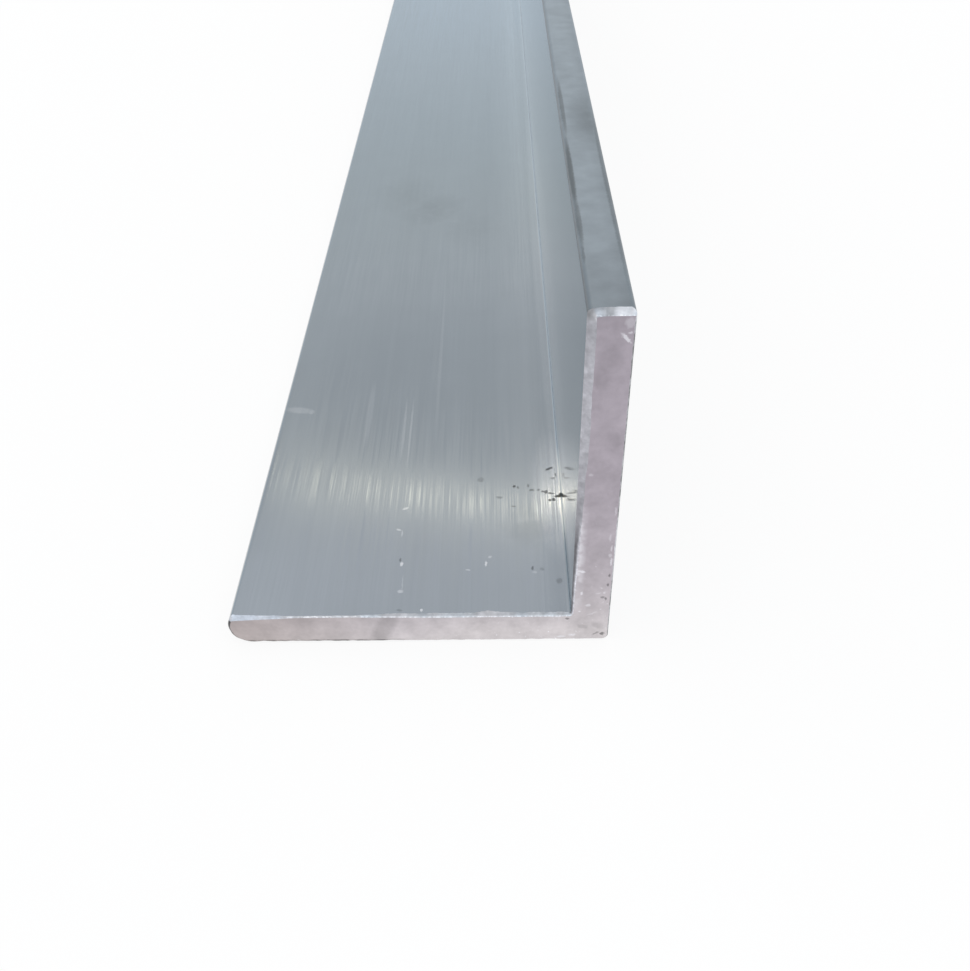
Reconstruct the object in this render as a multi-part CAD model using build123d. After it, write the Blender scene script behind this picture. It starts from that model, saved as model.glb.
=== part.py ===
from build123d import *
import os

# One length of extruded aluminium equal angle, as it comes from the stockholder's rack: a single
# solid, lying on one leg. X runs across the section, Y along the length and Z up. The origin is on
# the underside, below the middle of the length. The upright leg stands at +X, the toe of the flat
# leg points to -X, and the sawn end at -Y is the one that has been dressed with a file.

# Section, in mm
LEG_WIDTH = 50.0
LEG_HEIGHT = 50.0
WALL = 5.0
LENGTH = 1000.0

# Corners that run the whole length. The round under the flat toe is at most a share of the wall
HEEL_RADIUS = 0.8
ROOT_RADIUS = 0.25
UPRIGHT_TOE_RADIUS = 0.7
FLAT_TOE_RADIUS = 2.8
FLAT_TOE_SETBACK = 0.75
FLAT_TOE_EDGE_RADIUS = 0.4
LARGEST_ROUND = 0.8

# Both sawn ends have their burr taken off all round
END_DEBURR = 0.25

# File flats on the dressed end: the cut into the sawn face, the cut back along the bar, and how far
# a tapering flat runs from its wide end
TOE_FLAT_FACE = 0.9
TOE_FLAT_BACK = 0.65
TOE_FLAT_RUN = 14.0
TOP_FLAT_FACE = 0.8
TOP_FLAT_BACK = 0.45
INNER_FLAT_FACE = 1.15
INNER_FLAT_BACK = 0.6

# Places worked out from the sizes
TOE_X = -LEG_WIDTH / 2
HEEL_X = LEG_WIDTH / 2
INNER_X = HEEL_X - WALL
DRESSED_Y = -LENGTH / 2
FAR_Y = LENGTH / 2


def flat_toe_radius():
    """The round under the flat leg's toe, which a thin wall limits."""
    return min(FLAT_TOE_RADIUS, WALL * LARGEST_ROUND)


def rounded(face, corner, radius):
    """The face with its corner nearest to the given point rounded off."""
    nearest = face.vertices().sort_by_distance(corner)[0]
    return fillet(nearest, radius)


def section():
    """The angle's section in its own plane, with X across it and Y for its height."""
    toe_radius = flat_toe_radius()
    toe_foot = (TOE_X + toe_radius, 0)
    toe_crest = (TOE_X, toe_radius)
    toe_top = (TOE_X + FLAT_TOE_SETBACK, WALL)
    heel = (HEEL_X, 0)
    upright_outer = (HEEL_X, LEG_HEIGHT)
    upright_inner = (INNER_X, LEG_HEIGHT)
    root = (INNER_X, WALL)
    straights = Polyline(toe_foot, heel, upright_outer, upright_inner, root, toe_top)
    under_toe = TangentArc(toe_crest, toe_foot, tangent=(0, -1))
    over_toe = TangentArc(toe_crest, toe_top, tangent=(0, 1))
    face = make_face(straights.edges() + under_toe.edges() + over_toe.edges())
    face = rounded(face, heel, HEEL_RADIUS)
    face = rounded(face, root, ROOT_RADIUS)
    face = rounded(face, upright_outer, UPRIGHT_TOE_RADIUS)
    face = rounded(face, upright_inner, UPRIGHT_TOE_RADIUS)
    return rounded(face, toe_top, FLAT_TOE_EDGE_RADIUS)


def file_stroke(on_face, on_bar, vanishing):
    """The block that a file takes off an edge. Its underside passes through a point on the sawn
    face, a point on the bar's long face and the point on the edge where the flat runs out. It is as
    thick as the wall, which is more than any flat takes off, and runs past the corner by as much."""
    run_way = on_face - vanishing
    outward = run_way.cross(on_bar - on_face).normalized()
    if outward.Y > 0:
        outward = -outward
    stroke = Plane(origin=vanishing, x_dir=run_way, z_dir=outward)
    run = run_way.length + WALL
    return stroke * Box(run, 2 * WALL, WALL, align=(Align.MIN, Align.CENTER, Align.MIN))


def toe_flat():
    """The flat along the top edge of the flat leg, widest at the toe."""
    return file_stroke(
        Vector(TOE_X, DRESSED_Y, WALL - TOE_FLAT_FACE),
        Vector(TOE_X, DRESSED_Y + TOE_FLAT_BACK, WALL),
        Vector(TOE_X + TOE_FLAT_RUN, DRESSED_Y, WALL),
    )


def inner_flat():
    """The flat down the inside edge of the upright leg, widest at the top and gone at the root."""
    return file_stroke(
        Vector(INNER_X + INNER_FLAT_FACE, DRESSED_Y, LEG_HEIGHT),
        Vector(INNER_X, DRESSED_Y + INNER_FLAT_BACK, LEG_HEIGHT),
        Vector(INNER_X, DRESSED_Y, WALL + ROOT_RADIUS),
    )


def top_flat():
    """The flat across the top of the upright leg, as wide at one side as at the other."""
    on_face = Vector(INNER_X, DRESSED_Y, LEG_HEIGHT - TOP_FLAT_FACE)
    on_bar = Vector(INNER_X, DRESSED_Y + TOP_FLAT_BACK, LEG_HEIGHT)
    across = Vector(1, 0, 0)
    outward = across.cross(on_bar - on_face).normalized()
    stroke = Plane(origin=on_face, x_dir=across, z_dir=outward)
    above = (Align.MIN, Align.CENTER, Align.MIN)
    return stroke * Pos(-WALL, 0, 0) * Box(3 * WALL, 2 * WALL, WALL, align=above)


def angle_section():
    """The whole bar: the section drawn out, deburred at both ends and dressed at one."""
    far_end = Plane.XZ.offset(DRESSED_Y)
    bar = extrude(far_end * section(), amount=LENGTH)
    ends = bar.faces().filter_by(Axis.Y).sort_by(Axis.Y)
    bar = chamfer(ends[0].edges() + ends[-1].edges(), END_DEBURR)
    return bar - toe_flat() - inner_flat() - top_flat()


os.makedirs("parts", exist_ok=True)
export_step(angle_section(), "parts/angle_section.step")
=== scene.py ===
"""One length of mill-finish aluminium angle: its looks, its floor, its light and its camera."""

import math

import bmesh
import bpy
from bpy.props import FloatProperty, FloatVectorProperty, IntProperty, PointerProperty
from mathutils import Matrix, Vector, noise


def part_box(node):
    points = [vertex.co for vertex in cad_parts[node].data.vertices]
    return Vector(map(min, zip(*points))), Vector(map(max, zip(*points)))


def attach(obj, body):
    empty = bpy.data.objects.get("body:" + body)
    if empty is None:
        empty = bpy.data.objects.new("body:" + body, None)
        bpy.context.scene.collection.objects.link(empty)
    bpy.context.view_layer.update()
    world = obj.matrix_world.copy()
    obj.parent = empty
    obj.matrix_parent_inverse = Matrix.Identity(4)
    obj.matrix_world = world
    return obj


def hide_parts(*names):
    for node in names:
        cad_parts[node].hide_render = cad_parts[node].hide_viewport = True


bl_info = {
    "name": "Aluminium angle section",
    "version": (1, 0, 0),
    "blender": (4, 5, 0),
    "location": "View3D > Sidebar > Angle section",
    "description": "A length of mill-finish aluminium angle with one filed, sawn end",
    "category": "Object",
}

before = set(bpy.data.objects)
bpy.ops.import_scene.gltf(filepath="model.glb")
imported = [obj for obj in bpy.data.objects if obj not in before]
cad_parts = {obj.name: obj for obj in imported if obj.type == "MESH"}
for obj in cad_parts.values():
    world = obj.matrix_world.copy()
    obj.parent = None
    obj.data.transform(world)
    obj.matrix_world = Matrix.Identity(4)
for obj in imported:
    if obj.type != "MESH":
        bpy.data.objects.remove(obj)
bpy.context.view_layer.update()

MM = 0.001
NODE = "angle_section"
BODY = "root"

# The bar lies along Y on its flat leg. The upright leg stands at its highest X, and the dressed end
# is the one at its lowest Y
LOW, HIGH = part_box(NODE)
SAWN_Y = LOW.y

# Order of the bar's materials
MILL, SAWN, FILED = range(3)

# How wide a painted mark's edge is, as a share of its half size
MARK_SOFTNESS = 0.6


def a_length(name, description, millimetres):
    """A property for a length. The next three are for an angle, a place and a colour."""
    return FloatProperty(
        name=name, description=description, default=millimetres * MM, unit="LENGTH")


def an_angle(name, description, degrees):
    return FloatProperty(
        name=name, description=description, default=math.radians(degrees), unit="ROTATION")


def a_place(name, description, *metres):
    return FloatVectorProperty(
        name=name, description=description, default=metres, subtype="TRANSLATION", unit="LENGTH")


def a_colour(name, description, *levels):
    return FloatVectorProperty(
        name=name, description=description, default=levels, subtype="COLOR")


class BarSizes(bpy.types.PropertyGroup):
    """The section's wall and corners, and what the file took off the dressed end."""

    wall: a_length("Wall", "Thickness of both legs", 5)
    heel_round: a_length("Heel round", "Radius of the outer corner", 0.8)
    root_round: a_length("Root round", "Radius of the inner corner", 0.25)
    upright_round: a_length(
        "Upright round", "Radius of both corners on top of the upright leg", 0.7)
    toe_round: a_length("Toe round", "Radius under the toe of the flat leg", 2.8)
    toe_setback: a_length(
        "Toe setback", "How far the toe's top edge stands back from its crest", 0.75)
    toe_shoulder: a_length(
        "Toe shoulder", "Depth below the top at which the toe starts to lean back", 0.972)
    toe_edge_round: a_length("Toe edge round", "Radius of the toe's top edge", 0.4)
    pitch: a_length("Pitch", "Distance between points along the straight sides of the section", 0.3)
    deburr: a_length("Deburr", "Width of the broken edge round the far end", 0.25)
    edge_break: a_length(
        "Edge break", "Width of the broken edge on the dressed end's outer sides", 0.15)
    strips: IntProperty(
        name="Strips", description="Rows of faces across a filed flat", default=4)


class BarColours(bpy.types.PropertyGroup):
    """The colours of the bare metal."""

    mill: a_colour("Mill finish", "Metal as it left the die, weathered grey", 0.268, 0.300, 0.328)
    # The inside colour is lighter than the mill finish as a painted reflection; its smoothness is in
    # the roughness
    inside: a_colour(
        "Inside of the upright", "The smoother metal that faces the flat leg", 0.53, 0.56, 0.585)
    # The root colour is a painted glint: the strip light's reflection where it crosses the root
    root: a_colour("Root", "The rubbed metal in the near part of the root", 0.80, 0.76, 0.68)
    sawn: a_colour(
        "Sawn end", "Cut metal, as it is over most of the upright leg", 0.435, 0.392, 0.440)
    # Painted light: the sawn end takes this brighter colour low down by the heel
    painted_foot_light: a_colour("Sawn foot", "Brighter cut metal towards the heel", 0.69, 0.65, 0.66)
    filed_toe: a_colour(
        "Filed toe", "The wide flat at the toe, which mirrors a bluer light", 0.64, 0.66, 0.72)
    filed: a_colour("Filed flat", "Metal brightened by the file", 0.68, 0.69, 0.73)
    filed_inside: a_colour(
        "Filed inside edge", "The duller flat down the inside of the upright", 0.50, 0.50, 0.545)
    broken_edge: a_colour(
        "Broken edge", "The narrow edges that were only touched by the file", 0.15, 0.15, 0.155)
    # The scuff colour is also that of the painted glint by the root
    scuff_and_glint: a_colour("Scuff", "Bare metal in a fresh scratch", 0.80, 0.82, 0.85)
    # The speck colour also paints the glints at the sawn end's foot
    speck_and_glint: a_colour("Speck", "Bright specks on the sawn end", 0.95, 0.95, 1.0)
    sawn_toe: a_colour(
        "Sawn toe", "What the cut metal's colour is multiplied by at the toe", 0.93, 0.90, 0.83)
    # The grime colour is dirt in the pits and stains, and also painted shade on the inner face
    grime_and_shade: a_colour("Grime", "Dirt held in the pits", 0.012, 0.016, 0.014)


class StageSizes(bpy.types.PropertyGroup):
    """The camera's place and the light over the bar."""

    eye: a_place("Eye", "Where the camera stands", 0.01103, -0.58639, 0.10096)
    pitch: an_angle("Pitch", "How far the camera looks down", 40.545)
    yaw: an_angle("Yaw", "How far the camera turns to the left", 1.161)
    roll: an_angle("Roll", "How far the camera leans", -1.456)
    focal_length: FloatProperty(
        name="Focal length", description="Lens of the camera in millimetres", default=36.61)
    sky: FloatProperty(
        name="Sky", description="Strength of the white light from all round", default=1.0)
    strip_left: a_place(
        "Strip's left end", "One end of the strip light that the bar mirrors", -0.262, 0.298, 0.650)
    strip_right: a_place(
        "Strip's right end", "The other end of the strip light", 0.083, 0.270, 0.686)
    strip_width: a_length("Strip's width", "Width of the strip light", 12)
    strip_power: FloatProperty(
        name="Strip's power", description="Power of the strip light in watts", default=0.050)
    strip_colour: a_colour("Strip's colour", "Colour of the strip light", 1.0, 0.88, 0.65)
    floor_size: a_length("Floor", "Side of the floor", 6000)


class Socket:
    """A node's output. Sums and products written with it become Math nodes."""

    def __init__(self, finish, output):
        self.finish = finish
        self.output = output

    def combined(self, operation, first, second):
        return self.finish.node("Math", {"operation": operation}, {0: first, 1: second})

    def __add__(self, other):
        return self.combined("ADD", self, other)

    def __radd__(self, other):
        return self.combined("ADD", other, self)

    def __sub__(self, other):
        return self.combined("SUBTRACT", self, other)

    def __rsub__(self, other):
        return self.combined("SUBTRACT", other, self)

    def __mul__(self, other):
        return self.combined("MULTIPLY", self, other)

    def __or__(self, other):
        return self.combined("MAXIMUM", self, other)


class Finish:
    """A node tree in the making, which is a material's unless another is given."""

    def __init__(self, name, tree=None):
        self.material = None
        if tree is None:
            self.material = bpy.data.materials.new(name)
            self.material.use_nodes = True
            tree = self.material.node_tree
        self.tree = tree
        self.tree.nodes.clear()

    def node(self, kind, settings=None, inputs=None, output=0):
        made = self.tree.nodes.new("ShaderNode" + kind)
        for name, value in (settings or {}).items():
            setattr(made, name, value)
        for name, value in (inputs or {}).items():
            if isinstance(value, Socket):
                self.tree.links.new(value.output, made.inputs[name])
            else:
                made.inputs[name].default_value = value
        return Socket(self, made.outputs[output])

    def parts(self, vector):
        """The three numbers of a vector."""
        return [self.node("SeparateXYZ", {}, {0: vector}, axis) for axis in "XYZ"]

    def grain(self, place, scale, detail=2.0, output=0):
        """A noise from 0 to 1, with scale cells in a metre."""
        inputs = {"Vector": place, "Scale": scale, "Detail": detail}
        return self.node("TexNoise", {}, inputs, output)

    def ragged(self, place, scale, reach):
        """The place pushed about by a noise, so that the marks drawn with it get ragged edges."""
        push = self.grain(place, scale, output="Color")
        push = self.node("VectorMath", {"operation": "SUBTRACT"}, {0: push, 1: (0.5, 0.5, 0.5)})
        inputs = {0: push, 1: (reach, reach, reach), 2: place}
        return self.node("VectorMath", {"operation": "MULTIPLY_ADD"}, inputs)

    def span(self, value, start, end, low=0.0, high=1.0):
        """Carries a value that runs from start to end over to low to high, and stops there."""
        ends = {"From Min": start, "From Max": end, "To Min": low, "To Max": high}
        return self.node("MapRange", {"clamp": True}, {"Value": value, **ends})

    def oval(self, place, centre, half_sizes, turn=(0, 0, 0), softness=MARK_SOFTNESS):
        """1 inside an oval and 0 outside it, with a soft edge. The turn is about three axes."""
        inputs = {"Vector": place, "Location": centre, "Rotation": turn, "Scale": half_sizes}
        unit = self.node("Mapping", {"vector_type": "TEXTURE"}, inputs)
        length = self.node("VectorMath", {"operation": "LENGTH"}, {0: unit}, "Value")
        return self.span(length, 1.0 + softness / 2, 1.0 - softness / 2)

    def mixed(self, factor, first, second, how="MIX"):
        """The first colour, with the second over it by the factor."""
        settings = {"data_type": "RGBA", "blend_type": how}
        return self.node("Mix", settings, {0: factor, 6: opaque(first), 7: opaque(second)}, 2)

    def toned(self, colour, tone):
        """A colour made lighter or darker by a grey value."""
        factor = self.node("CombineXYZ", {}, {0: tone, 1: tone, 2: tone})
        return self.mixed(1.0, colour, factor, "MULTIPLY")

    def bump(self, height, depth):
        return self.node("Bump", {}, {"Height": height, "Distance": depth, "Strength": 1.0})

    def metal(self, colour, roughness, normal, metallic=1.0):
        inputs = {"Base Color": colour, "Metallic": metallic, "Roughness": roughness,
                  "Normal": normal}
        return self.surface(self.node("BsdfPrincipled", {}, inputs))

    def surface(self, shader):
        """Ends the tree with a shader, and gives back the material that it makes, if any."""
        kind = "ShaderNodeOutputMaterial" if self.material else "ShaderNodeOutputWorld"
        out = self.tree.nodes.new(kind)
        self.tree.links.new(shader.output, out.inputs["Surface"])
        return self.material


def fill_ramp(ramp, stops):
    """Sets a ramp's stops, each a place and a colour."""
    for place, colour in stops[1:-1]:
        ramp.elements.new(place)
    for element, (place, colour) in zip(ramp.elements, stops):
        element.position = place
        element.color = (*colour, 1.0)


def opaque(colour):
    """A colour with its alpha, or a link as it is."""
    return colour if isinstance(colour, Socket) else (*colour, 1.0)


class BarFinish(Finish):
    """A finish of the bar, whose methods take places in mm from an origin."""

    def __init__(self, name, sizes):
        super().__init__(name)
        self.sizes = sizes
        self.inner = HIGH.x - sizes.wall
        self.place = self.node("TexCoord", output="Object")
        self.across, self.along, self.height = self.parts(self.place)

    def fade(self, value, origin, start, end, low=0.0, high=1.0):
        """Goes from low to high between two places, and stops there."""
        return self.span(value, origin + start * MM, origin + end * MM, low, high)

    def band(self, value, origin, start, end, softness):
        """1 between two places and 0 outside them, with soft ends."""
        rise = self.fade(value, origin, start - softness, start + softness)
        return rise * self.fade(value, origin, end - softness, end + softness, 1.0, 0)

    def lengthwise(self, *fade):
        """A fade along the bar, from the sawn end."""
        return self.fade(self.along, SAWN_Y, *fade)

    def crosswise(self, *fade):
        """A fade across the bar, from the middle of its width."""
        return self.fade(self.across, 0, *fade)

    def from_inner(self, *fade):
        """A fade across the bar, from the upright's inner face."""
        return self.fade(self.across, self.inner, *fade)

    def from_outer(self, *fade):
        """A fade across the bar, from the upright's outer face."""
        return self.fade(self.across, HIGH.x, *fade)

    def upward(self, *fade):
        """A fade up the bar, from the floor."""
        return self.fade(self.height, 0, *fade)

    def from_top(self, *fade):
        """A fade up the bar, from the top of the upright."""
        return self.fade(self.height, HIGH.z, *fade)


# Pits and dark specks on the flat leg's upper face, in mm: place across from the middle of the leg,
# distance from the sawn end, half width, half length, turn in degrees and darkness
PITS = (
    (18.5, 29.5, 0.62, 0.24, 35, 0.75), (19.0, 27.3, 0.35, 0.2, 0, 0.4),
    (19.4, 28.0, 0.13, 0.4, 0, 0.45), (13.1, 25.5, 0.22, 0.28, 0, 0.7),
    (13.65, 25.2, 0.14, 0.3, 0, 0.45), (15.2, 25.6, 0.15, 0.35, 0, 0.4),
    (15.7, 24.6, 0.38, 0.25, 10, 0.45), (16.7, 24.6, 0.2, 0.25, 0, 0.4),
    (17.4, 24.2, 0.34, 0.24, 0, 0.55), (17.8, 24.1, 0.22, 0.4, -15, 0.7),
    (18.55, 23.8, 0.5, 0.2, -8, 0.65), (19.7, 23.15, 0.68, 0.27, 6, 1.0),
    (19.95, 23.45, 0.3, 0.36, 0, 1.0), (18.3, 22.3, 0.22, 0.22, 0, 0.85),
    (18.85, 22.4, 0.2, 0.34, 0, 0.85), (12.95, 21.0, 0.4, 0.16, 0, 0.3),
    (10.9, 23.0, 0.5, 0.25, 0, 0.25), (8.1, 27.1, 0.5, 0.55, 0, 0.22),
    (15.3, 8.4, 0.16, 0.35, 0, 0.5), (16.6, 8.2, 0.3, 0.3, 0, 0.2),
    (18.8, 5.9, 0.4, 0.5, 0, 0.25), (-2.85, 10.2, 0.13, 0.35, 0, 0.45),
    (-2.35, 0.9, 0.35, 0.2, 0, 0.25),
)

# Bright specks and scratches on the same face, given in the same way, with their brightness last
SCUFFS = (
    (-2.6, 9.4, 0.2, 0.4, 0, 0.45), (-2.85, 20.8, 0.5, 0.2, 30, 0.22),
    (-3.45, 16.3, 0.35, 0.15, -20, 0.25), (-2.95, 15.5, 0.1, 0.6, 0, 0.22),
    (-2.45, 4.3, 0.35, 0.3, 0, 0.25), (-2.25, 5.9, 0.1, 1.3, 0, 0.12),
    (8.95, 9.3, 0.16, 0.5, 0, 0.42), (9.5, 10.6, 0.28, 0.22, 45, 0.2),
    (6.5, 8.15, 0.3, 0.15, 0, 0.2), (0.55, 0.9, 0.15, 0.3, 0, 0.45),
    (15.55, 7.6, 0.3, 0.2, 0, 0.12), (-21.9, 45.4, 2.1, 0.8, -10, 0.12),
    (-19.9, 44.9, 0.5, 0.6, 0, 0.12), (-10.2, 44.0, 0.5, 8.0, 0, 0.07),
    (-4.3, 40.2, 0.2, 7.0, 0, 0.12), (-3.2, 39.2, 0.15, 8.0, 0, 0.12),
    (0.8, 58.9, 0.25, 20.0, 0, 0.05), (19.2, 95.0, 1.0, 70.0, 0, 0.06),
)

# Dull smears on the same face, given in the same way
SMEARS = (
    (-9.5, 128.0, 5.0, 8.0, 0, 0.07),
    (-3.0, 120.5, 4.5, 6.0, -35, 0.12),
    (4.5, 112.0, 5.0, 7.0, 0, 0.06),
    (15.0, 17.0, 2.4, 3.4, 0, 0.14),
)

# Die lines on the same face that shine more than the rest: place across, half width and shine
DIE_LINES = (
    (-16.9, 0.70, 0.4), (-14.2, 0.45, 0.45), (-10.2, 0.12, 1.0), (-8.7, 0.14, 1.0),
    (-7.4, 0.11, 1.0), (-6.1, 0.09, 0.9), (-5.1, 0.12, 1.0), (-2.3, 0.12, 0.4),
    (-0.8, 0.30, 0.5), (0.7, 0.09, 0.6), (1.3, 0.09, 0.6), (2.3, 0.10, 0.6),
    (6.8, 0.35, 0.5), (7.8, 0.10, 0.9), (8.2, 0.07, 1.0), (10.2, 0.09, 0.7),
    (13.6, 0.10, 0.5), (15.6, 0.08, 0.8), (16.4, 0.07, 0.9), (17.0, 0.12, 0.8),
    (17.8, 0.08, 0.9), (18.4, 0.50, 0.8), (19.6, 0.35, 1.0),
)

# A painted glint by the root, a brighter patch given as the scuffs are, and its part on the
# upright's inner face: distance from the sawn end, height, half length, half height and strength
PAINTED_GLINT = (19.6, 25.2, 2.4, 9.0, 0, 0.43)
PAINTED_GLINT_UP = (23.5, 5.5, 7.0, 2.2, 0.6)

# Dark lines on top of the upright leg, painted shade along its rounded edges, given as the pits are
TOP_MARKS = (
    (20.45, 20.0, 0.30, 6.0, 0, 0.45),
    (20.4, 34.0, 0.32, 10.0, 0, 0.65),
    (20.55, 57.0, 0.28, 10.0, 0, 0.5),
    (20.4, 12.0, 0.16, 2.0, 0, 0.35),
    (24.65, 33.0, 0.35, 26.0, 0, 0.4),
)

# A dull smear on top of the upright leg, given as the pits are
TOP_SMEARS = (
    (23.6, 52.0, 1.6, 7.0, 0, 0.34),
)

# Marks on the sawn end, in mm: place across, height, half width, half height, turn and strength
END_STAINS = (
    (-4.4, 2.6, 1.2, 3.2, 25, 0.20), (24.2, 1.1, 0.3, 0.35, 0, 0.6),
    (23.6, 2.7, 0.9, 0.5, 30, 0.12), (23.4, 1.2, 0.5, 0.15, -30, 0.35),
    (19.5, 4.1, 0.25, 0.16, 0, 0.55), (21.6, 2.5, 0.7, 0.35, 15, 0.15),
    (22.6, 44.0, 1.3, 2.0, 20, 0.09), (21.8, 41.5, 1.0, 1.2, 0, 0.10),
    (23.4, 33.0, 1.0, 1.5, 0, 0.08), (24.55, 12.0, 0.12, 0.3, 0, 0.5),
    (24.45, 10.3, 0.12, 0.25, 0, 0.5), (23.9, 8.1, 0.25, 0.18, 0, 0.4),
    (24.3, 7.8, 0.15, 0.3, 0, 0.5), (22.6, 17.0, 1.4, 1.5, 0, 0.06),
    (-12.0, 0.25, 1.2, 0.14, 0, 0.4), (-18.0, 0.2, 1.6, 0.12, 0, 0.35),
    (-7.0, 0.2, 0.7, 0.12, 0, 0.4), (-24.5, 1.6, 0.12, 1.0, -20, 0.3),
)

# Bright specks on the sawn end, given in the same way
END_SPECKS = (
    (24.4, 48.4, 0.5, 0.6, 0, 0.3), (24.5, 16.7, 0.13, 0.5, 0, 0.5),
    (24.6, 14.4, 0.13, 0.6, 0, 0.65), (24.6, 22.8, 0.1, 0.6, 0, 0.4),
    (18.3, 4.45, 0.35, 0.12, 0, 0.85), (17.6, 4.5, 0.2, 0.1, 0, 0.6),
    (21.2, 8.8, 0.16, 0.28, 10, 0.8), (22.1, 6.6, 0.3, 0.25, 0, 0.55),
    (20.9, 12.8, 0.65, 0.22, 20, 0.95), (20.5, 12.3, 0.3, 0.35, 0, 0.65),
    (24.1, 46.6, 0.18, 0.75, -40, 0.75), (24.5, 47.2, 0.25, 0.15, 0, 0.5),
    (21.4, 28.4, 0.25, 0.2, 0, 0.3), (24.4, 15.5, 0.2, 0.35, 0, 0.4),
    (24.2, 18.5, 0.12, 0.6, 0, 0.3), (24.1, 8.9, 0.2, 0.2, 0, 0.5),
    (23.3, 8.8, 0.35, 0.12, -20, 0.35), (22.6, 5.0, 0.7, 0.1, -25, 0.3),
    (21.1, 18.9, 0.12, 0.7, 10, 0.2), (20.3, 7.4, 0.12, 1.3, 0, 0.4),
    (18.8, 0.6, 0.6, 0.16, 0, 0.65), (20.2, 0.9, 0.5, 0.16, 0, 0.6),
    (-16.0, 0.4, 0.3, 0.12, 0, 0.3),
)


# How finely the broad blotches are broken up
COARSE_DETAIL = 3.0

# Half the depth of a painted mark, in mm, on a level face and on the sawn end
MARK_DEPTH = 0.8
END_MARK_DEPTH = 1.0


def marks(finish, place, rows, height, softness=MARK_SOFTNESS):
    """The strongest of a list of marks that lie on a level face."""
    strongest = 0.0
    for across, along, half_width, half_length, turn, strength in rows:
        centre = (across * MM, SAWN_Y + along * MM, height)
        half_sizes = (half_width * MM, half_length * MM, MARK_DEPTH * MM)
        turned = (0, 0, math.radians(turn))
        mark = finish.oval(place, centre, half_sizes, turned, softness)
        strongest = mark * strength | strongest
    return strongest


def end_marks(finish, place, rows):
    """The strongest of a list of marks that lie on the sawn end."""
    strongest = 0.0
    for across, height, half_width, half_height, turn, strength in rows:
        centre = (across * MM, SAWN_Y, height * MM)
        half_sizes = (half_width * MM, END_MARK_DEPTH * MM, half_height * MM)
        turned = (0, math.radians(turn), 0)
        strongest = finish.oval(place, centre, half_sizes, turned) * strength | strongest
    return strongest


# The part of a die line's half width over which it shines in full
LINE_CORE = 0.3


def shining_lines(finish):
    """The strongest of the die lines at a place across the flat leg."""
    strongest = 0.0
    for middle, half_width, shine in DIE_LINES:
        off = finish.node("Math", {"operation": "ABSOLUTE"}, {0: finish.across - middle * MM})
        line = finish.span(off, half_width * MM, half_width * MM * LINE_CORE) * shine
        strongest = line | strongest
    return strongest


# Grain of the mill finish: cells in a metre, how it is drawn along the bar, and share of the tone
GRAINS = {
    "fine": (4500.0, 0.014, 0.05),
    "medium": (1200.0, 0.014, 0.06),
    "broad": (170.0, 0.05, 0.06),
    "mottle": (140.0, 1.0, 0.05),
}
MILL_TONE = 0.89

# Half the depth of a face's mask, and how soft the root's is, in mm
SKIN = 0.1
ROOT_SOFTNESS = 0.05

# Where the upper faces and the inner face are, in mm. A band's third number is its softness
TOP_FACE = (-0.75, -0.6)
FLAT_FACE = (-0.3, 0.1, 0.1)
UNDER_TOP_ROUND = (-0.7, -1.0)

# Where the flat leg turns to the inside's lighter colour, a painted sheen near the root. In this and
# each fade below, two places in mm come first, and then the values there, if they aren't 0 and 1
NEAR_ROOT = (-11.0, -0.5, 0, 0.17)
NEAR_ROOT_ALONG = (8.0, 30.0, 0.4, 1.0)
BY_ROOT = (-6.0, -2.0, 0, 0.14)
AT_ROOT = (-1.3, -0.4, 0, 0.12)
FAR_ALONG = (80.0, 145.0)

# How the round in the root is painted lighter and darker, and where a painted glint lies on it
ROOT_LIGHTENS = (16.0, 36.0)
UP_THE_ROOT = (0.15, 0.85)
ROOT_GLINT = (15.5, 32.0, 3.0)
ROOT_GLINT_SHARE = 0.75
ROOT_DARKENS = (85.0, 240.0, 0, 0.2)

# A painted pool of light on the flat leg by the toe, near the sawn end
TOE_LIGHT_ACROSS = (0, -22.0)
TOE_LIGHT_ALONG = (30.0, 8.0)
TOE_LIGHT_TONE = 0.08

# The tone on top of the upright: its blotches, its sawn end and both edges; the inner edge is
# painted shade
BLOTCH_GRAIN = 300.0
BLOTCH_TONE = (0.3, 0.7, 0.93, 1.13)
TOP_ALONG = (0, 14.0, 0.82, 1.0)
TOP_INNER_EDGE = (0, 0.55, 0.62, 1.0)
TOP_OUTER_EDGE = (-1.9, -0.2, 1.0, 0.86)

# How ragged the marks are: cells in a metre and reach. Then how soft the smears are
MARK_RAGGED = (2600.0, 0.35 * MM)
SMEAR_RAGGED = (300.0, 4 * MM)
TOP_SMEAR_RAGGED = (900.0, MM)
SMEAR_SOFTNESS = 1.4

# The darkening in the root by the sawn end, and the painted shade over it on the inner face
STRIP_ACROSS = (-0.3, 0.1, 0.15)
STRIP_ALONG = (-1.0, 15.5, 1.5)
STRIP_UP = (-1.0, 0.3, 0.1)
STRIP_SHARE = 0.13
SHADE_PATCH_ALONG = (9.0, 1.0, 0, 0.4)
SHADE_PATCH_TOP = (26.0, 19.0)
SHADE_PATCH_BOTTOM = (8.0, 12.0)

# The painted glint by the root: how soft it is, and how the fine grain streaks it
PAINTED_GLINT_SOFTNESS = 1.5
PAINTED_GLINT_STREAKS = (0.38, 0.6, 0.45, 1.0)

# Roughness of the mill finish, what changes it, and its relief
MILL_ROUGHNESS = 0.1645
MEDIUM_ROUGHNESS = 0.045
FINE_SHINE = (0.36, 0.64, 0, 0.075)
LINE_SHINE = 0.055
TOE_ROUGHNESS = (-12.0, -20.0, 0, 0.03)
INSIDE_SHINE = 0.4
PAINTED_GLINT_SHINE = 0.4
TOP_ROUGHNESS = 0.42
ROOT_ROUGHNESS = 0.3
PIT_DULLNESS = 0.6
FINE_RELIEF = 0.4
MILL_RELIEF = 0.007 * MM


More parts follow.
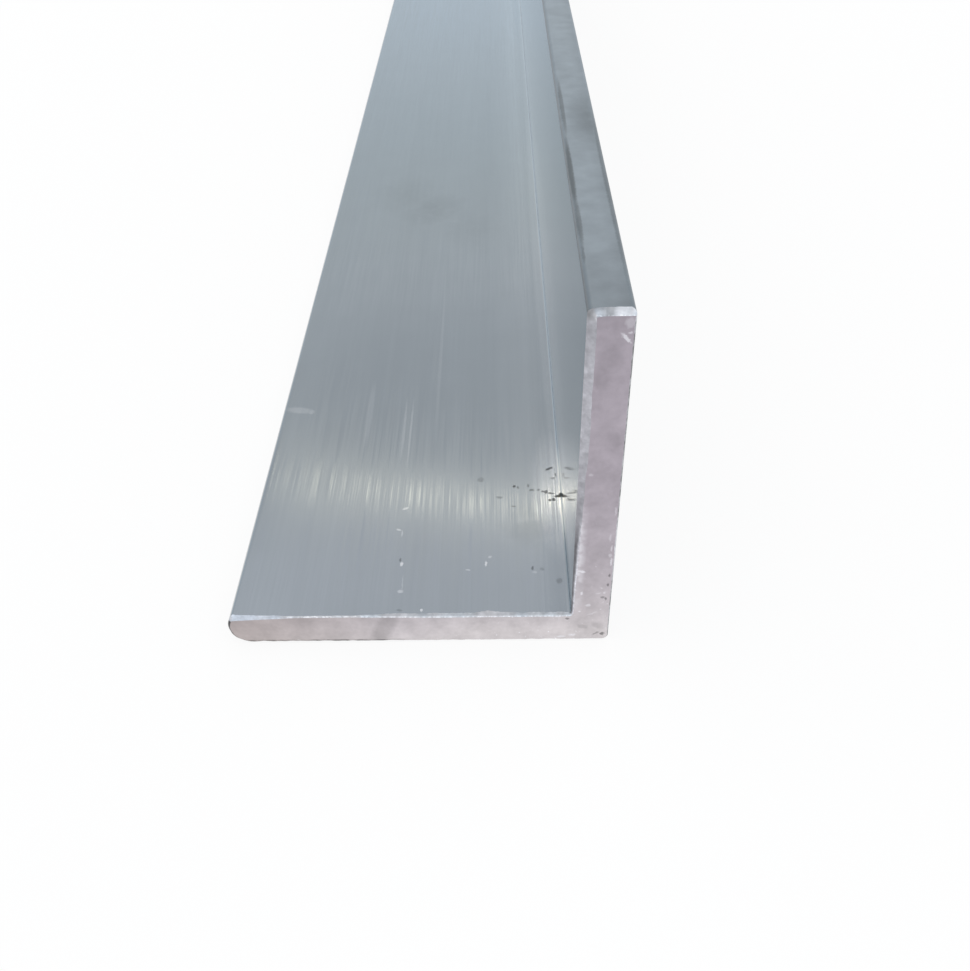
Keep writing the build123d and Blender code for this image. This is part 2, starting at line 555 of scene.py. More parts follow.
class MillFinish(BarFinish):
    """Extruded metal: die lines along the bar, faint mottling, and the marks of the rack."""

    def __init__(self, sizes, colours):
        super().__init__("mill_finish", sizes)
        self.colours = colours
        self.inside = self.inner_face()
        self.on_top = self.from_top(*TOP_FACE)
        self.on_flat = self.band(self.height, sizes.wall, *FLAT_FACE)
        self.root = self.root_face()
        # The round in the root is painted lighter further along, to even out its reflection
        up_root = self.span(self.height, sizes.wall, sizes.wall + sizes.root_round, *UP_THE_ROOT)
        self.light_root = self.root * self.lengthwise(*ROOT_LIGHTENS) * up_root
        self.grains = {}
        for name, (scale, drawn, _) in GRAINS.items():
            inputs = {0: self.place, 1: (1.0, drawn, 1.0)}
            stretched = self.node("VectorMath", {"operation": "MULTIPLY"}, inputs)
            self.grains[name] = self.grain(stretched, scale)

    def inner_face(self):
        """1 on the upright's inner face."""
        wall = self.sizes.wall
        face = self.band(self.across, self.inner, -SKIN, SKIN, SKIN)
        face = face * self.span(self.height, wall, wall + self.sizes.root_round)
        return face * self.from_top(*UNDER_TOP_ROUND)

    def root_face(self):
        """1 on the round in the root."""
        radius = self.sizes.root_round / MM
        face = self.band(self.across, self.inner, -radius, SKIN, ROOT_SOFTNESS)
        return face * self.band(self.height, self.sizes.wall, 0, radius, ROOT_SOFTNESS)

    def root_sheen_share(self):
        """How far the flat leg's colour goes over to the inside's, a painted sheen near the root."""
        share = self.from_inner(*NEAR_ROOT) * self.lengthwise(*NEAR_ROOT_ALONG)
        far_along = self.lengthwise(*FAR_ALONG)
        return share + self.from_inner(*BY_ROOT) * far_along + self.from_inner(*AT_ROOT) * far_along

    def top_tone(self):
        """The grey value on top of the upright."""
        tone = self.span(self.grain(self.place, BLOTCH_GRAIN, COARSE_DETAIL), *BLOTCH_TONE)
        tone = tone * self.lengthwise(*TOP_ALONG)
        # Painted shade darkens the top at its inner edge
        return tone * self.from_inner(*TOP_INNER_EDGE) * self.from_outer(*TOP_OUTER_EDGE)

    def tone(self):
        """The grey value of the metal, with painted light by the toe and painted shade in the root.
        """
        tone = MILL_TONE
        for name, (_, _, share) in GRAINS.items():
            tone = tone + self.grains[name] * share
        # Painted light: lighter towards the toe near the sawn end
        toe_light = self.crosswise(*TOE_LIGHT_ACROSS) * self.lengthwise(*TOE_LIGHT_ALONG)
        tone = tone + toe_light * TOE_LIGHT_TONE
        tone = tone * (1.0 - self.on_top) + self.top_tone() * self.on_top
        # Painted shade: the round in the root darkens far along the bar
        return tone * (1.0 - self.root * self.lengthwise(*ROOT_DARKENS))

    def painted_glint_patch(self):
        """How far the painted glint by the root covers the metal, on the flat leg and on the
        upright.
        """
        patch = marks(self, self.place, (PAINTED_GLINT,), self.sizes.wall, PAINTED_GLINT_SOFTNESS)
        patch = patch * self.span(self.grains["fine"], *PAINTED_GLINT_STREAKS)
        along, height, half_length, half_height, strength = PAINTED_GLINT_UP
        centre = (self.inner, SAWN_Y + along * MM, height * MM)
        half_sizes = (MM, half_length * MM, half_height * MM)
        upper = self.oval(self.place, centre, half_sizes, softness=PAINTED_GLINT_SOFTNESS)
        return patch | upper * self.inside * strength

    def dirt_and_shade(self):
        """How far the smears, the darkening in the root and the painted shade by the sawn end cover
        it.
        """
        wall = self.sizes.wall
        ragged = self.ragged(self.place, *SMEAR_RAGGED)
        smears = marks(self, ragged, SMEARS, wall, SMEAR_SOFTNESS)
        ragged = self.ragged(self.place, *TOP_SMEAR_RAGGED)
        smears = smears | marks(self, ragged, TOP_SMEARS, HIGH.z, SMEAR_SOFTNESS)
        strip = self.band(self.across, self.inner, *STRIP_ACROSS)
        strip = strip * self.band(self.along, SAWN_Y, *STRIP_ALONG)
        strip = strip * self.band(self.height, wall, *STRIP_UP)
        # Painted shade: a dark patch low on the inner face by the sawn end
        patch = self.inside * self.lengthwise(*SHADE_PATCH_ALONG)
        patch = patch * self.upward(*SHADE_PATCH_TOP) * self.upward(*SHADE_PATCH_BOTTOM)
        return smears | strip * STRIP_SHARE | patch

    def roughness(self, painted_glint):
        """The roughness, less on the die lines, inside the upright and under the painted glint by
        the root.
        """
        shine = self.span(self.grains["fine"], *FINE_SHINE)
        shine = shine + shining_lines(self) * self.on_flat * LINE_SHINE
        rough = MILL_ROUGHNESS + self.grains["medium"] * MEDIUM_ROUGHNESS - shine
        rough = rough + self.crosswise(*TOE_ROUGHNESS)
        rough = rough * (1.0 - self.inside * INSIDE_SHINE) * (1.0 - painted_glint * PAINTED_GLINT_SHINE)
        rough = rough * (1.0 - self.on_top)
        return rough + self.on_top * TOP_ROUGHNESS + self.light_root * ROOT_ROUGHNESS

    def finished(self):
        """The material."""
        colours, wall = self.colours, self.sizes.wall
        marked = self.ragged(self.place, *MARK_RAGGED)
        # The pits come with the painted shade along the top's edges
        pits_and_edge_shade = marks(self, marked, PITS, wall) | marks(self, marked, TOP_MARKS, HIGH.z)
        scuffs = marks(self, marked, SCUFFS, wall)
        painted_glint = self.painted_glint_patch()
        # Painted sheen: the inner face, the flat leg near the root and the root's round take the
        # inside colour
        lighter = self.inside | self.root_sheen_share() * self.on_flat | self.light_root
        colour = self.mixed(lighter, colours.mill, colours.inside)
        colour = self.toned(colour, self.tone())
        # Painted glint: the patch by the root takes the scuff colour, as the real scratches do
        colour = self.mixed(scuffs | painted_glint, colour, colours.scuff_and_glint)
        # Painted glint along the near part of the root
        painted_root_glint = self.root * self.band(self.along, SAWN_Y, *ROOT_GLINT) * ROOT_GLINT_SHARE
        colour = self.mixed(painted_root_glint, colour, colours.root)
        colour = self.mixed(pits_and_edge_shade | self.dirt_and_shade(), colour, colours.grime_and_shade)
        relief = self.grains["fine"] * FINE_RELIEF + self.grains["medium"]
        normal = self.bump(relief, MILL_RELIEF)
        return self.metal(colour, self.roughness(painted_glint), normal, 1.0 - pits_and_edge_shade * PIT_DULLNESS)


# The sawn end's painted pool of light at its foot: how it fades upwards, in mm, and grows from the
# toe
LIT_FOOT_HEIGHT = 2.0
LIT_FOOT_REACH = 10.0
LIT_FOOT_ACROSS = (0, 33.0, 0.36, 0.95)

# Grain of the sawn end, in cells in a metre, and its tone with what the grain adds
PATCH_GRAIN = 300.0
SPECK_GRAIN = 1600.0
GLINT_GRAIN = 2300.0
EDGE_GRAIN = 700.0
SAWN_TONE = 0.64
PATCH_TONE = 0.54
SPECK_TONE = 0.18
SAWN_TOP_TONE = (43.0, 48.0, 1.0, 0.92)

# The painted glints at its foot, which grow with the painted light towards the heel
GLINTS = (0.65, 0.71)
GLINTS_ACROSS = (0, 15.0)

# The ragged bright edge low down on the inside
RAGGED_ACROSS = (1.5, 0.7)
RAGGED_UP = (7.0, 23.0, 2.0)
RAGGED_BROKEN = (0.4, 0.6, 0.2, 0.75)

# The dark line along its bottom edge, the dark rim round the toe, and the toe's own colour
FOOT_LINE_UP = (0.55, 0.3)
FOOT_LINE_ACROSS = (-1.0, -4.0)
FOOT_LINE_BROKEN = (0.4, 0.6, 0.15, 0.6)
TOE_CORE = 0.91
TOE_SOFTNESS = 0.06
TOE_RIM_ACROSS = (0, -0.5)
TOE_RIM_UP = (1.2, 0)
TOE_RIM_SHARE = 0.6
TOE_COLOUR_STARTS = -3.0

END_RAGGED = (2200.0, 0.5 * MM)
END_SPECK_SHARE = 0.7
SAWN_ROUGHNESS = 0.5
SPECK_RELIEF = 0.5
SAWN_RELIEF = 0.06 * MM


def toe_rim(finish):
    """1 on the rim of the sawn end round the toe."""
    toe = finish.sizes.toe_round
    core = (LOW.x + toe, SAWN_Y, toe)
    half_sizes = (TOE_CORE * toe, toe, TOE_CORE * toe)
    rim = 1.0 - finish.oval(finish.place, core, half_sizes, softness=TOE_SOFTNESS)
    rim = rim * finish.fade(finish.across, LOW.x + toe, *TOE_RIM_ACROSS)
    return rim * finish.fade(finish.height, toe, *TOE_RIM_UP)


def sawn_finish(sizes, colours):
    """The sawn end: a duller, warmer metal with soft patches, and painted light low down by the
    heel.
    """
    finish = BarFinish("sawn_end", sizes)
    fall = (LIT_FOOT_HEIGHT * MM - finish.height) * (1 / (LIT_FOOT_REACH * MM))
    fading = finish.node("Math", {"operation": "EXPONENT"}, {0: fall})
    patches = finish.grain(finish.place, PATCH_GRAIN, COARSE_DETAIL)
    specks = finish.grain(finish.place, SPECK_GRAIN)
    edge_grain = finish.grain(finish.place, EDGE_GRAIN)
    tone = SAWN_TONE + patches * PATCH_TONE + specks * SPECK_TONE
    tone = tone * finish.upward(*SAWN_TOP_TONE)

    marked = finish.ragged(finish.place, *END_RAGGED)
    glints = finish.span(finish.grain(finish.place, GLINT_GRAIN), *GLINTS) * fading
    ragged_edge = finish.from_inner(*RAGGED_ACROSS) * finish.band(finish.height, 0, *RAGGED_UP)
    ragged_edge = ragged_edge * finish.span(edge_grain, *RAGGED_BROKEN)
    bright = glints * finish.crosswise(*GLINTS_ACROSS) | ragged_edge
    bright = end_marks(finish, marked, END_SPECKS) | bright
    foot_line = finish.upward(*FOOT_LINE_UP) * finish.crosswise(*FOOT_LINE_ACROSS)
    foot_line = foot_line * finish.span(edge_grain, *FOOT_LINE_BROKEN)
    dull = end_marks(finish, marked, END_STAINS) | foot_line | toe_rim(finish) * TOE_RIM_SHARE

    # Painted light low down on the sawn end, growing towards the heel
    foot = finish.fade(finish.across, LOW.x, *LIT_FOOT_ACROSS) * fading
    colour = finish.mixed(foot, colours.sawn, colours.painted_foot_light)
    colour = finish.toned(colour, tone)
    toe_side = finish.span(finish.across, TOE_COLOUR_STARTS * MM, LOW.x)
    colour = finish.mixed(toe_side, colour, colours.sawn_toe, "MULTIPLY")
    colour = finish.mixed(bright * END_SPECK_SHARE, colour, colours.speck_and_glint)
    colour = finish.mixed(dull, colour, colours.grime_and_shade)
    normal = finish.bump(specks * SPECK_RELIEF + patches, SAWN_RELIEF)
    return finish.metal(colour, SAWN_ROUGHNESS, normal)


# Grain of the filed flats, in cells in a metre, and the tones that it gives
STROKE_GRAIN = 900.0
GRIT_GRAIN = 2800.0
STROKE_TONE = (0.3, 0.7, 0.80, 1.12)
GRIT_TONE = (0.3, 0.7, 0.92, 1.08)

# The flat on top of the upright and the one down its inside
UPPER_FLAT = (-1.6, -0.8)
INSIDE_FLAT = (-0.2, 1.6, 0.1)
INSIDE_STARTS = (-0.2, 0)
LOW_INSIDE = (25.0, 17.0)

# The broken edges on the outside, underneath and round the toe
OUTSIDE_EDGE = (-0.5, -0.3)
OUTSIDE_BROKEN = (0.4, 0.6, 0.3, 0.9)
OUTSIDE_BRIGHT = (12.5, 21.0, 1.5)
OUTSIDE_BRIGHT_SHARE = 0.9
UNDER_EDGE = (0.6, 0.4)
UNDER_BROKEN = (0.35, 0.5, 0.3, 1.0)
UNDER_GROWS = (0, -4.0, 0.6, 1.0)
TOE_EDGE_UP = (-0.8, -1.0)
EDGE_DARKENING = 0.5

# The wide flat by the toe, and the rear and front strips of the other flats
WEDGE = (-14.0, -20.0)
REAR_STRIP = (0.06, 0.2)
REAR_DARKENING = 0.3
LOW_REAR_DARKENING = 0.6
FRONT_STRIP = (0.09, 0.05)
FRONT_TONE = (0.45, 0.6, 0, 0.3)

# How the inside flat dulls downwards and at its top, and lightens at its foot
INSIDE_DULLS = (38.0, 23.0, 0, 0.24)
INSIDE_TOP_DULLS = (44.0, 47.0, 0, 0.2)
INSIDE_FOOT_LIGHTENS = (20.0, 14.0, 0, 0.35)

# The tone across the flat on top, and its darker rear corner
TOP_OUTER_TONE = (-2.4, -1.9, 0.62, 1.17)
TOP_MIDDLE_TONE = (-3.0, -3.2, 1.0, 1.29)
TOP_INNER_TONE = (0.5, 1.0, 0.75, 1.0)
TOP_REAR_ALONG = (0.15, 0.35)
TOP_REAR_ACROSS = (2.4, 1.6)
TOP_REAR_DARKENING = 0.25

FILED_ROUGHNESS = 0.35
FILED_RELIEF = 0.03 * MM


class FiledFinish(BarFinish):
    """The flats that the file left: bright on the upper edges, duller down the inside of the
    upright, and hardly more than a line round the outside."""

    def __init__(self, sizes, colours):
        super().__init__("filed_edge", sizes)
        self.colours = colours
        self.strokes = self.grain(self.place, STROKE_GRAIN)
        self.grit = self.grain(self.place, GRIT_GRAIN)
        self.upper = self.from_top(*UPPER_FLAT)
        self.inside = self.band(self.across, self.inner, *INSIDE_FLAT) * (1.0 - self.upper)
        self.inside = self.inside * self.fade(self.height, sizes.wall, *INSIDE_STARTS)
        self.low_inside = self.inside * self.upward(*LOW_INSIDE)
        self.wedge = self.crosswise(*WEDGE)

    def outside_edge(self):
        """How far the edge round the outside of the upright is dark."""
        edge = self.from_outer(*OUTSIDE_EDGE) * (1.0 - self.upper)
        edge = edge * self.span(self.strokes, *OUTSIDE_BROKEN)
        bright = self.band(self.height, 0, *OUTSIDE_BRIGHT)
        return edge * (1.0 - bright * OUTSIDE_BRIGHT_SHARE)

    def under_edge(self):
        """How far the edge underneath and the one round the toe are dark."""
        under = self.upward(*UNDER_EDGE) * self.span(self.strokes, *UNDER_BROKEN)
        under = under * self.crosswise(*UNDER_GROWS)
        radius = self.sizes.toe_round
        toe = self.span(self.across, LOW.x + radius, LOW.x + radius / 2)
        return under | toe * self.fade(self.height, self.sizes.wall, *TOE_EDGE_UP)

    def upper_tone(self):
        """The grey value of the flat on top of the upright."""
        tone = self.from_outer(*TOP_OUTER_TONE) * self.from_outer(*TOP_MIDDLE_TONE)
        tone = tone * self.from_inner(*TOP_INNER_TONE)
        rear = self.lengthwise(*TOP_REAR_ALONG) * self.from_inner(*TOP_REAR_ACROSS)
        return tone * (1.0 - rear * TOP_REAR_DARKENING)

    def tone(self):
        """The grey value of the flats."""
        level = 1.0 - self.inside + self.low_inside
        tone = self.span(self.strokes, *STROKE_TONE) * self.span(self.grit, *GRIT_TONE)
        dulled = self.upward(*INSIDE_DULLS) + self.upward(*INSIDE_TOP_DULLS)
        tone = tone * (1.0 - self.inside * (1.0 - self.low_inside) * dulled)
        tone = tone * (1.0 - self.upper + self.upper_tone() * self.upper)
        tone = tone + self.inside * self.upward(*INSIDE_FOOT_LIGHTENS)
        rear = self.lengthwise(*REAR_STRIP) * (1.0 - self.wedge) * (1.0 - self.upper) * level
        tone = tone * (1.0 - rear * REAR_DARKENING)
        tone = tone * (1.0 - self.low_inside * rear * LOW_REAR_DARKENING)
        front = self.lengthwise(*FRONT_STRIP) * (1.0 - self.wedge)
        return tone + front * self.span(self.grit, *FRONT_TONE) * level

    def finished(self):
        """The material."""
        colours = self.colours
        under = self.under_edge()
        colour = self.mixed(self.wedge, colours.filed, colours.filed_toe)
        colour = self.mixed(self.inside, colour, colours.filed_inside)
        colour = self.mixed(self.outside_edge() | under, colour, colours.broken_edge)
        colour = self.toned(colour, self.tone() * (1.0 - under * EDGE_DARKENING))
        normal = self.bump(self.strokes, FILED_RELIEF)
        return self.metal(colour, FILED_ROUGHNESS, normal)


# The floor's grey, and how far it shows as plain white instead
FLOOR_GREY = 0.93
FLOOR_WHITE_SHARE = 0.88


def floor_finish():
    """Pale, dull floor that shows as white and still keeps some of the bar's shadow."""
    finish = Finish("pale_floor")
    grey = opaque((FLOOR_GREY, FLOOR_GREY, FLOOR_GREY))
    dull = finish.node("BsdfDiffuse", {}, {"Color": grey})
    white = finish.node("Emission", {}, {"Color": opaque((1.0, 1.0, 1.0)), "Strength": 1.0})
    seen = finish.node("LightPath", output="Is Camera Ray")
    mirrored = finish.node("LightPath", output="Is Glossy Ray")
    through = finish.node("LightPath", output="Is Transmission Ray")
    share = (seen | mirrored | through) * FLOOR_WHITE_SHARE
    return finish.surface(finish.node("MixShader", {}, {0: share, 1: dull, 2: white}))


def nearest(bm, x, z):
    return min(bm.verts, key=lambda vert: (vert.co.x - x) ** 2 + (vert.co.z - z) ** 2)


def round_corner(bm, x, z, reach, segments):
    """Rounds the corner of the section nearest to a point, starting at a distance from it."""
    bmesh.ops.bevel(
        bm, geom=[nearest(bm, x, z)], offset=reach, offset_type="OFFSET", affect="VERTICES",
        segments=segments, profile=0.5, material=-1)


def toe_edge_reach(sizes):
    """How far the round on the toe's top edge reaches along the two sides that it joins."""
    lean = math.atan2(sizes.toe_shoulder, sizes.toe_setback)
    return sizes.toe_edge_round * math.tan(lean / 2)


# The share of its side that the shoulder's round takes up
SHOULDER_SHARE = 0.999

# Points closer together than this, in metres, are one
TOUCHING = 1e-7

# Where the rings round the bar are, as shares of its length from the sawn end
RINGS = (0.002, 0.006, 0.015, 0.03, 0.05, 0.08, 0.12, 0.18, 0.26, 0.36, 0.5, 0.7, 0.9, 0.998)


def draw_section(bm, sizes):
    """The section as one face at the sawn end, with a point at least every pitch."""
    left, right, top = LOW.x, HIGH.x, HIGH.z
    inner = right - sizes.wall
    level = sizes.wall
    toe_back = left + sizes.toe_setback
    shoulder = level - sizes.toe_shoulder
    corners = ((left, 0), (right, 0), (right, top), (inner, top), (inner, level),
               (toe_back, level), (left, shoulder))
    bm.faces.new([bm.verts.new((x, SAWN_Y, z)) for x, z in corners])
    edge_reach = toe_edge_reach(sizes)
    shoulder_reach = math.hypot(sizes.toe_setback, sizes.toe_shoulder) - edge_reach
    # The place, reach and segments of each round
    rounds = (
        (right, 0, sizes.heel_round, 8),
        (right, top, sizes.upright_round, 8),
        (inner, top, sizes.upright_round, 8),
        (inner, level, sizes.root_round, 6),
        (toe_back, level, edge_reach, 5),
        (left, shoulder, shoulder_reach * SHOULDER_SHARE, 6),
        (left, 0, sizes.toe_round, 12),
    )
    for x, z, reach, segments in rounds:
        round_corner(bm, x, z, reach, segments)
    for edge in list(bm.edges):
        cuts = math.ceil(edge.calc_length() / sizes.pitch) - 1
        if cuts > 0:
            bmesh.ops.subdivide_edges(bm, edges=[edge], cuts=cuts)
    bm.faces.ensure_lookup_table()
    return bm.faces[0]


def draw_out(bm, face):
    """Carries the section to the far end, with rings that lie closer together near the sawn end."""
    made = bmesh.ops.extrude_face_region(bm, geom=[face])["geom"]
    length = HIGH.y - LOW.y
    moved = [item for item in made if isinstance(item, bmesh.types.BMVert)]
    bmesh.ops.translate(bm, verts=moved, vec=(0, length, 0))
    for share in RINGS:
        geometry = bm.verts[:] + bm.edges[:] + bm.faces[:]
        on_ring = (0, LOW.y + share * length, 0)
        bmesh.ops.bisect_plane(
            bm, geom=geometry, plane_co=on_ring, plane_no=(0, 1, 0), dist=TOUCHING)
    bmesh.ops.recalc_face_normals(bm, faces=bm.faces[:])


def end_face(bm, toward):
    """The large face at the end of the bar that the Y direction points to."""
    return max(bm.faces, key=lambda face: face.normal.y * toward * face.calc_area())


def ring_pairs(bm, face, width):
    """Sets a ring of faces into an end face and pairs its inner points with its outer ones."""
    bmesh.ops.inset_individual(bm, faces=[face], thickness=width, use_even_offset=True)
    inner = set(face.verts)
    pairs = []
    for vert in face.verts:
        for edge in vert.link_edges:
            other = edge.other_vert(vert)
            if other not in inner:
                pairs.append((vert, other, edge))
    return pairs


# What the file took off, in mm: two places along an edge, and the sizes there. The shelf is on the
# flat leg's edge, the side goes down the inside of the upright and the top across it. Their places
# are counted from the toe or the middle, from the flat leg, and from the upright's inner face
SHELF_BY_TOE = (0, 9.3, 0.79, 0.28)
SHELF_FROM_MIDDLE = (-9.0, 3.0, 0, 0.2)
SHELF_BACK_BY_TOE = (0, 9.3, 0.47, 0.08)
SHELF_BACK_FROM_MIDDLE = (-8.0, -3.0, 0, 0.27)
SIDE = (0, 29.0, 0.28, 1.0)
SIDE_BACK = (0, 29.0, 0.25, 0.5)
TOP = (0, 2.0, 1.0, 0.8)
TOP_BACK = (0, 5 / 3, 0.2, 0.45)

# A deeper place in the shelf, in mm from the middle
NOTCH_ACROSS = 9.5
NOTCH_REACH = 1.5
NOTCH_DEPTH = 0.3

# How the cuts waver: how much, over what length in mm, and which of the random curves
SHELF_WAVER = (0.1, 1.6, 3.1)
SIDE_WAVER = (0.1, 2.2, 5.7)
TOP_WAVER = (0.16, 0.9, 8.3)
GRIT_WAVER = (0.25, 0.45, 1.9)
BREAK_WAVER = (0.5, 0.8, 4.4)

# How much wider the broken edges are by the toe
BREAK_BY_TOE = (0, 24.0, 1.7, 1.0)

# The least width of a flat
LEAST_FLAT = 0.05 * MM

# How far a face may lean along the bar and be mill finish, and from where it is part of an end
MILL_SLOPE = 0.03
END_SLOPE = 0.9999

# Edges with a sharper turn than this aren't shaded smooth
CREASE = math.radians(25)


def waver(place, reach, length, seed):
    """A smooth random value up to a reach each way, that changes over a length along the edge."""
    return reach * noise.noise(Vector((place.x / (length * MM), seed, place.z / (length * MM))))


def eased(place, start, end, low, high):
    """A size that goes from low to high between two places, and stays so beyond them."""
    share = (place - start * MM) / ((end - start) * MM)
    return low + (high - low) * min(max(share, 0), 1.0)


def file_cut(place, sizes):
    """What the file took off at a point of the section's edge, in metres: off the flat leg's upper
    face, off the inside of the upright, and off its top, each into the sawn face and back along
    the bar."""
    x, from_toe = place.x, place.x - LOW.x
    up = place.z - sizes.wall
    from_inner = x - (HIGH.x - sizes.wall)
    shelf = eased(from_toe, *SHELF_BY_TOE) + eased(x, *SHELF_FROM_MIDDLE)
    shelf_back = eased(from_toe, *SHELF_BACK_BY_TOE) + eased(x, *SHELF_BACK_FROM_MIDDLE)
    shelf_back += waver(place, *SHELF_WAVER)
    from_notch = (x - NOTCH_ACROSS * MM) / (NOTCH_REACH * MM)
    shelf_back += NOTCH_DEPTH * math.exp(-from_notch ** 2)
    side = eased(up, *SIDE) * (1 + waver(place, *SIDE_WAVER))
    side_back = eased(up, *SIDE_BACK)
    top = eased(from_inner, *TOP)
    top_back = eased(from_inner, *TOP_BACK) + waver(place, *TOP_WAVER)
    grit = 1 + waver(place, *GRIT_WAVER)
    return (shelf * MM, shelf_back * MM * grit, side * MM, side_back * MM * grit, top * MM,
            top_back * MM * grit)


def dress_end(bm, sizes):
    """Files the sawn end at the front: a flat on each edge, wide where the file leant on it."""
    pairs = ring_pairs(bm, end_face(bm, -1), LEAST_FLAT)
    inner_x = HIGH.x - sizes.wall
    for inner, outer, _ in pairs:
        outward = (outer.co - inner.co).normalized()
        start = outer.co.copy()
        shelf, shelf_back, side, side_back, top, top_back = file_cut(start, sizes)
        broken = sizes.edge_break * (1 + waver(start, *BREAK_WAVER))
        broken *= eased(start.x - LOW.x, *BREAK_BY_TOE)
        upright = start.z > sizes.wall + sizes.root_round
        facing_up = max(outward.z, 0) ** 2
        facing_in = max(-outward.x, 0) ** 2 if start.x > 0 else 0.0
        rest = 1 - facing_up - facing_in
        level_cut, level_back = (top, top_back) if upright else (shelf, shelf_back)
        into = broken * rest + level_cut * facing_up + side * facing_in
        back = broken * rest + level_back * facing_up + side_back * facing_in
        x = start.x - outward.x * into
        z = start.z - outward.z * into
        if upright:
            x = max(x, inner_x + side)
            z = min(z, HIGH.z - top)
        elif start.x < inner_x - sizes.root_round:
            z = min(z, sizes.wall - shelf)
        inner.co = (x, SAWN_Y, z)
        outer.co.y = SAWN_Y + max(back, LEAST_FLAT)
    edges = [edge for _, _, edge in pairs]
    bmesh.ops.subdivide_edges(bm, edges=edges, cuts=sizes.strips - 1)


def deburr_end(bm, sizes):
    """Breaks the edge all round the far end."""
    for _, outer, _ in ring_pairs(bm, end_face(bm, 1), sizes.deburr):
        outer.co.y -= sizes.deburr


def sort_faces(bm):
    """Gives each face its material, and keeps the shading crisp where two finishes meet."""
    for face in bm.faces:
        slope = abs(face.normal.y)
        face.material_index = MILL if slope < MILL_SLOPE else SAWN if slope > END_SLOPE else FILED
        face.smooth = True
    for edge in bm.edges:
        alike = len({face.material_index for face in edge.link_faces}) == 1
        edge.smooth = alike and edge.calc_face_angle(0) < CREASE


class ANGLE_OT_bar(bpy.types.Operator):
    """Make the bar, dress its sawn end and give it its finishes"""

    bl_idname = "angle_section.bar"
    bl_label = "Make the bar"

    def execute(self, context):
        sizes = context.scene.bar_sizes
        colours = context.scene.bar_colours
        bm = bmesh.new()
        face = draw_section(bm, sizes)
        draw_out(bm, face)
        dress_end(bm, sizes)
        deburr_end(bm, sizes)
        bmesh.ops.dissolve_degenerate(bm, dist=TOUCHING, edges=bm.edges[:])
        bm.normal_update()
        sort_faces(bm)
        mesh = bpy.data.meshes.new("bar")
        bm.to_mesh(mesh)
        bm.free()
        bar = bpy.data.objects.new("bar", mesh)
        context.scene.collection.objects.link(bar)
        mesh.materials.append(MillFinish(sizes, colours).finished())
        mesh.materials.append(sawn_finish(sizes, colours))
        mesh.materials.append(FiledFinish(sizes, colours).finished())
        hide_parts(NODE)
        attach(bar, BODY)
        return {"FINISHED"}


# Gap between the bar and the floor, in mm
FLOOR_GAP = 0.05


def lay_floor(context, stage):
    bm = bmesh.new()
    bmesh.ops.create_grid(bm, x_segments=1, y_segments=1, size=stage.floor_size / 2)
    bmesh.ops.translate(bm, verts=bm.verts[:], vec=(0, 0, -FLOOR_GAP * MM))
    mesh = bpy.data.meshes.new("floor")
    bm.to_mesh(mesh)
    bm.free()
    floor = bpy.data.objects.new("floor", mesh)
    context.scene.collection.objects.link(floor)
    mesh.materials.append(floor_finish())


# How the white light from all round varies with the sine of its height over the floor
SKY = (
    (0.00, (0.92, 0.99, 1.06)),
    (0.256, (0.90, 1.02, 1.12)),
    (0.296, (0.94, 1.02, 1.07)),
    (0.346, (0.93, 1.01, 1.05)),
    (0.413, (0.97, 1.02, 1.02)),
    (0.485, (1.11, 1.12, 1.13)),
    (0.52, (0.92, 0.94, 0.96)),
    (0.62, (0.93, 0.94, 0.95)),
    (0.70, (1.16, 1.15, 1.18)),
    (0.80, (1.12, 1.12, 1.13)),
    (1.00, (1.03, 1.03, 1.03)),
)


def light_sky(context, stage):
    """White light from all round, a little cooler towards the horizon and plain white to the
    camera."""
    world = bpy.data.worlds.new("white_room")
    world.use_nodes = True
    room = Finish("white_room", world.node_tree)
    height = room.parts(room.node("TexCoord", output="Generated"))[2]
    light = room.node("ValToRGB", {}, {0: height})
    fill_ramp(light.output.node.color_ramp, SKY)
    colour = room.mixed(room.node("LightPath", output="Is Camera Ray"), light, (1.0, 1.0, 1.0))
    light = room.node("Background", {}, {"Color": colour, "Strength": stage.sky})
    room.surface(light)
    context.scene.world = world


def hang_strip(context, stage):
    """The strip light whose reflection crosses the flat leg as a band."""
    left, right = Vector(stage.strip_left), Vector(stage.strip_right)
    lamp = bpy.data.lights.new("strip", "AREA")
    lamp.shape = "RECTANGLE"
    lamp.size = (right - left).length
    lamp.size_y = stage.strip_width
    lamp.energy = stage.strip_power
    lamp.color = stage.strip_colour
    strip = bpy.data.objects.new("strip", lamp)
    middle = (left + right) / 2
    backward = (middle - Vector((0, SAWN_Y, 0))).normalized()
    along = (right - left).normalized()
    upward = backward.cross(along).normalized()
    along = upward.cross(backward)
    turn = Matrix((along, upward, backward)).transposed().to_4x4()
    strip.matrix_world = Matrix.Translation(middle) @ turn
    strip.visible_camera = False
    context.scene.collection.objects.link(strip)


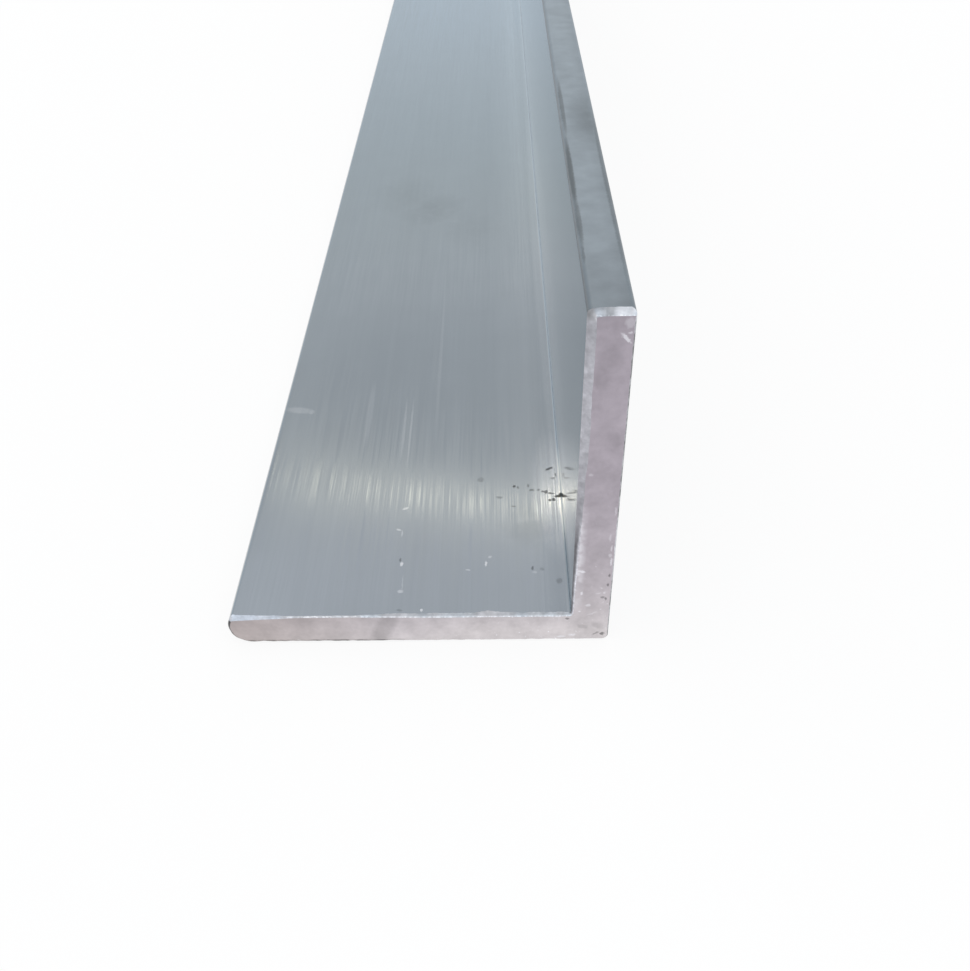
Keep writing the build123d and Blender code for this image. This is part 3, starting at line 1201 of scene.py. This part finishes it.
def place_camera(context, stage):
    lens = bpy.data.cameras.new("camera")
    lens.lens = stage.focal_length
    camera = bpy.data.objects.new("camera", lens)
    turn = Matrix.Rotation(stage.yaw, 4, "Z") @ Matrix.Rotation(math.pi / 2 - stage.pitch, 4, "X")
    lean = Matrix.Rotation(stage.roll, 4, "Z")
    camera.matrix_world = Matrix.Translation(stage.eye) @ turn @ lean
    lens.clip_start = MM
    context.scene.collection.objects.link(camera)
    context.scene.camera = camera


class ANGLE_OT_stage(bpy.types.Operator):
    """Lay the floor, light the bar and set up the camera"""

    bl_idname = "angle_section.stage"
    bl_label = "Set the stage"

    def execute(self, context):
        stage = context.scene.stage_sizes
        lay_floor(context, stage)
        light_sky(context, stage)
        hang_strip(context, stage)
        place_camera(context, stage)
        context.scene.view_settings.view_transform = "Standard"
        return {"FINISHED"}


class ANGLE_PT_panel(bpy.types.Panel):
    """The bar's sizes and colours, and the buttons that make it"""

    bl_idname = "ANGLE_PT_panel"
    bl_label = "Angle section"
    bl_space_type = "VIEW_3D"
    bl_region_type = "UI"
    bl_category = "Angle section"

    def draw(self, context):
        layout = self.layout
        for group in (context.scene.bar_sizes, context.scene.bar_colours, context.scene.stage_sizes):
            box = layout.box()
            for name in group.bl_rna.properties.keys():
                if name not in ("rna_type", "name"):
                    box.prop(group, name)
        layout.operator(ANGLE_OT_bar.bl_idname)
        layout.operator(ANGLE_OT_stage.bl_idname)


CLASSES = (BarSizes, BarColours, StageSizes, ANGLE_OT_bar, ANGLE_OT_stage, ANGLE_PT_panel)


def register():
    for cls in CLASSES:
        bpy.utils.register_class(cls)
    bpy.types.Scene.bar_sizes = PointerProperty(type=BarSizes)
    bpy.types.Scene.bar_colours = PointerProperty(type=BarColours)
    bpy.types.Scene.stage_sizes = PointerProperty(type=StageSizes)


def unregister():
    del bpy.types.Scene.stage_sizes
    del bpy.types.Scene.bar_colours
    del bpy.types.Scene.bar_sizes
    for cls in reversed(CLASSES):
        bpy.utils.unregister_class(cls)


def main():
    register()
    bpy.ops.angle_section.bar()
    bpy.ops.angle_section.stage()


if __name__ == "__main__":
    main()
